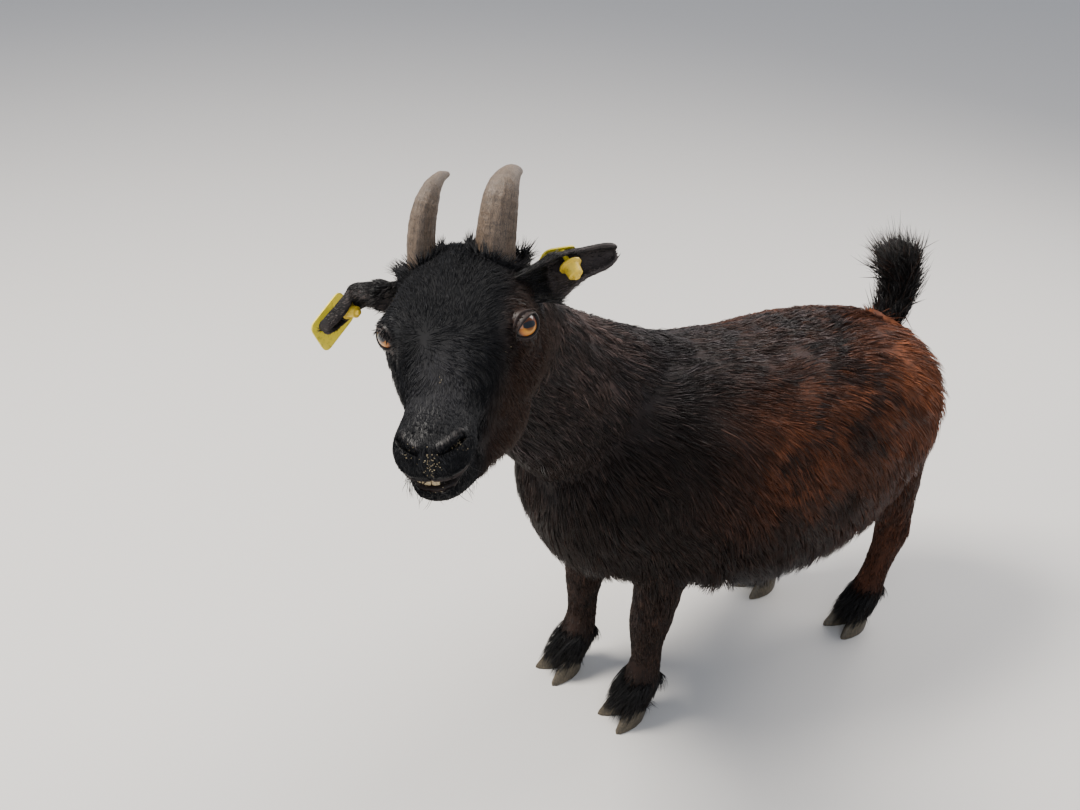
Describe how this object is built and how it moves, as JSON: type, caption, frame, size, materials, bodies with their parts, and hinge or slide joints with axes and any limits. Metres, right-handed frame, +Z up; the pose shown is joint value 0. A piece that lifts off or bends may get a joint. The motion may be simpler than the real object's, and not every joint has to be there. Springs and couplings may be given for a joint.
{
  "type": "pygmy goat model",
  "caption": "Life-size standing pygmy goat with its head turned to its left, short upright horns, tagged ears, deep barrel body, raised tail and cloven hoofs.",
  "frame": {"origin": "on the floor, under the middle of the goat's bounding box", "axes": "+Z up, the body faces -X, so the goat's left side is -Y; its head is turned to its left"},
  "size_m": [0.8174, 0.4092, 0.7099],
  "materials": {
    "coat": "shaggy dark coat, matt with a soft sheen",
    "horn": "dry striated horn",
    "hoof": "worn horn",
    "eye": "wet gloss",
    "tag": "moulded satin"
  },
  "bodies": {
    "root": {"ear_left": "coat", "ear_right": "coat", "eye_left": "eye", "eye_right": "eye", "head": "coat", "hoof_fore_left_left_claw": "hoof", "hoof_fore_left_right_claw": "hoof", "hoof_fore_right_left_claw": "hoof", "hoof_fore_right_right_claw": "hoof", "hoof_hind_left_left_claw": "hoof", "hoof_hind_left_right_claw": "hoof", "hoof_hind_right_left_claw": "hoof", "hoof_hind_right_right_claw": "hoof", "horn_left": "horn", "horn_right": "horn", "leg_fore_left_lower": "coat", "leg_fore_left_upper": "coat", "leg_fore_right_lower": "coat", "leg_fore_right_upper": "coat", "leg_hind_left_lower": "coat", "leg_hind_left_upper": "coat", "leg_hind_right_lower": "coat", "leg_hind_right_upper": "coat", "neck": "coat", "tag_left_button": "tag", "tag_left_plate": "tag", "tag_right_button": "tag", "tag_right_plate": "tag", "tail": "coat", "trunk": "coat"}
  },
  "joints": []
}
